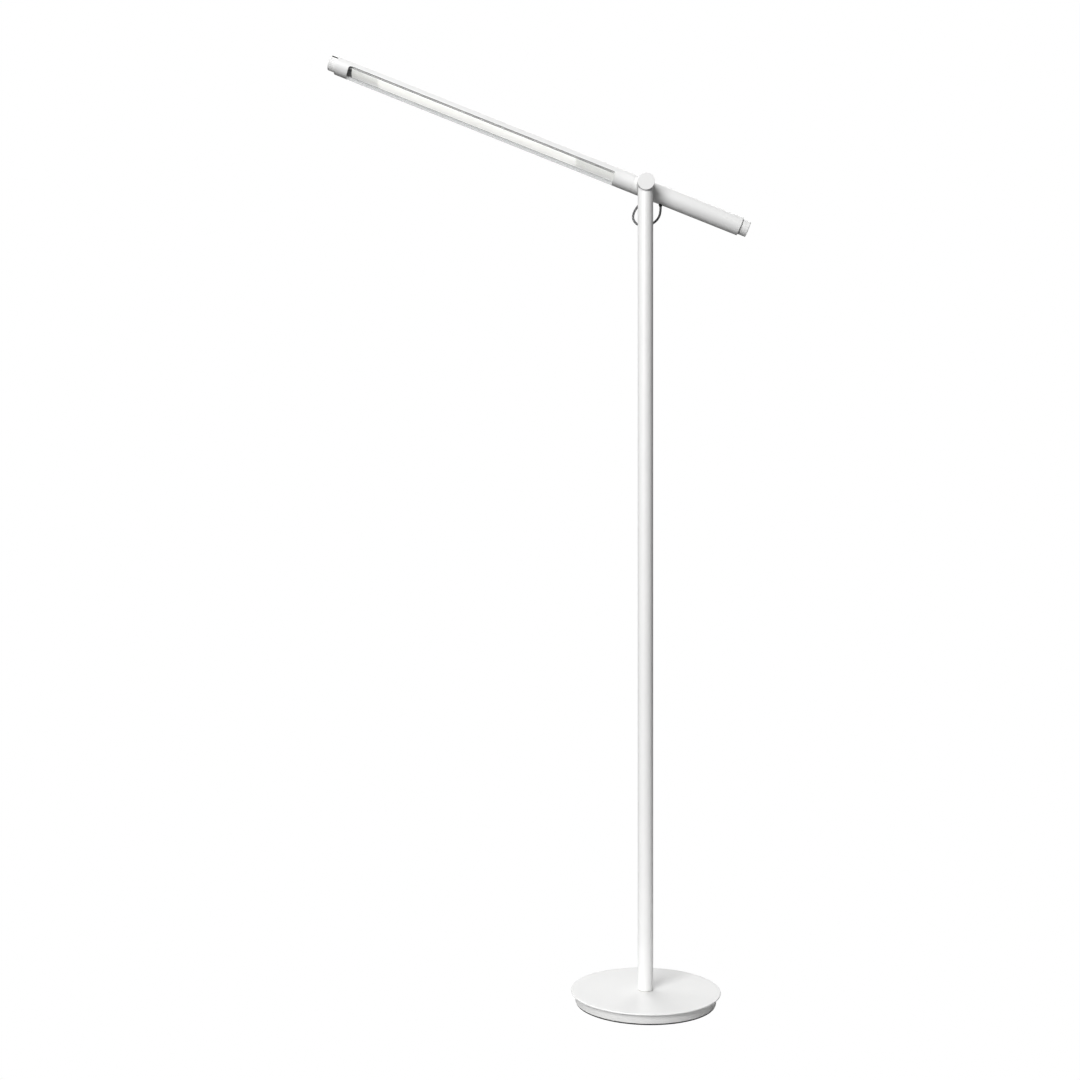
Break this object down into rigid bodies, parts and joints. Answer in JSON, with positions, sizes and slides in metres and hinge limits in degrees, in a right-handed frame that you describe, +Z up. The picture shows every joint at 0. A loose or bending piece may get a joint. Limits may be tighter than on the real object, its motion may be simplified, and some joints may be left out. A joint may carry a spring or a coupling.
{
  "type": "adjustable arm floor lamp",
  "caption": "Slim floor lamp: round weighted base, straight column, and a tilting tube arm with a windowed light head, a focus knob and a dimmer knob.",
  "frame": {"origin": "centre of the foot pad on the floor, under the column axis", "axes": "+Z up along the column; the arm swings in a plane parallel to X-Z, set back to +Y; at rest the light head points to -X and up"},
  "size_m": [0.6569, 0.229, 1.4595],
  "materials": {
    "white_paint": "satin white powder coat",
    "white_knob": "satin white, fine ribs on the focus knob",
    "black_rubber": "matt black",
    "steel": "turned and zinc plated",
    "aluminium": "extruded, matt",
    "bronze": "sintered bearing bronze",
    "nylon": "natural nylon",
    "black_plastic": "fine-grained black",
    "friction_fibre": "fibre washer",
    "clear_acrylic": "clear, polished",
    "frosted_lens": "frosted, glows where the emitters are",
    "light_board": "white solder mask",
    "emitter": "phosphor over the emitters",
    "circuit_board": "green board",
    "components": "moulded black",
    "braided_cord": "braided, black with grey flecks",
    "mark_ink": "black inlay"
  },
  "bodies": {
    "base": {"base_plate": "white_paint", "base_weight": "white_paint", "foot_pad": "black_rubber", "base_post": "steel", "post_washer": "steel", "post_nut": "steel", "base_screws": "steel", "power_gland": "black_plastic", "thrust_ring": "nylon", "post_circlip": "steel", "pan_stop_pin": "steel"},
    "column": {"column_tube": "white_paint", "column_bush_lower": "bronze", "column_bush_upper": "bronze", "pan_stop_key": "steel", "knuckle_barrel": "white_paint", "knuckle_cap": "white_paint", "pivot_bush": "bronze", "column_cord_gland": "black_rubber", "jumper_cord": "braided_cord"},
    "arm": {"arm_saddle": "white_paint", "tilt_stop_pin": "steel", "friction_washer": "friction_fibre", "clamp_plate": "steel", "pivot_bolt": "steel", "pivot_nut": "steel", "spring_washers": "steel", "rear_tube": "white_paint", "swivel_sleeve": "aluminium", "arm_cord_gland": "black_rubber", "rear_end_ring": "white_paint", "dimmer_control": "components", "driver_board": "circuit_board", "driver_components": "components", "board_carriers": "nylon", "counterweight": "steel"},
    "head": {"head_tube": "white_paint", "clear_cover": "clear_acrylic", "head_end_plug": "white_paint", "roll_stop_screw": "steel", "led_heatsink": "aluminium", "led_board": "light_board", "heatsink_screws": "steel", "led_emitters": "emitter", "lens_rails": "aluminium"},
    "lens": {"lens_bar": "frosted_lens", "lens_nut": "black_plastic"},
    "focus": {"focus_knob": "white_knob", "focus_mark": "mark_ink", "focus_screw": "steel"},
    "dimmer": {"dimmer_knob": "white_knob", "dimmer_shaft": "steel", "dimmer_knob_screw": "steel"}
  },
  "joints": [
    {"name": "column_pan", "type": "hinge", "parent": "base", "child": "column", "pos_m": [0, 0, 0.0193], "axis": [0, 0, 1], "range_deg": [-160, 160]},
    {"name": "arm_tilt", "type": "hinge", "parent": "column", "child": "arm", "pos_m": [0, 0.029, 1.2538], "axis": [0, 1, 0], "range_deg": [-66, 58], "deforming": ["jumper_cord"]},
    {"name": "head_roll", "type": "hinge", "parent": "arm", "child": "head", "pos_m": [-0.02693, 0.029, 1.26457], "axis": [0.9285, 0, -0.3714], "range_deg": [-150, 150]},
    {"name": "focus_turn", "type": "hinge", "parent": "head", "child": "focus", "pos_m": [-0.48188, 0.029, 1.44654], "axis": [-0.9285, 0, 0.3714], "range_deg": [0, 180]},
    {"name": "lens_slide", "type": "slide", "parent": "head", "child": "lens", "axis": [-0.9285, 0, 0.3714], "range_m": [0, 0.005]},
    {"name": "dimmer_turn", "type": "hinge", "parent": "arm", "child": "dimmer", "pos_m": [0.15506, 0.029, 1.19178], "axis": [0.9285, 0, -0.3714], "range_deg": [-270, 0]}
  ],
  "couplings": [
    {"joint": "lens_slide", "follows": "focus_turn", "m_per_rad": 0.0015915}
  ]
}
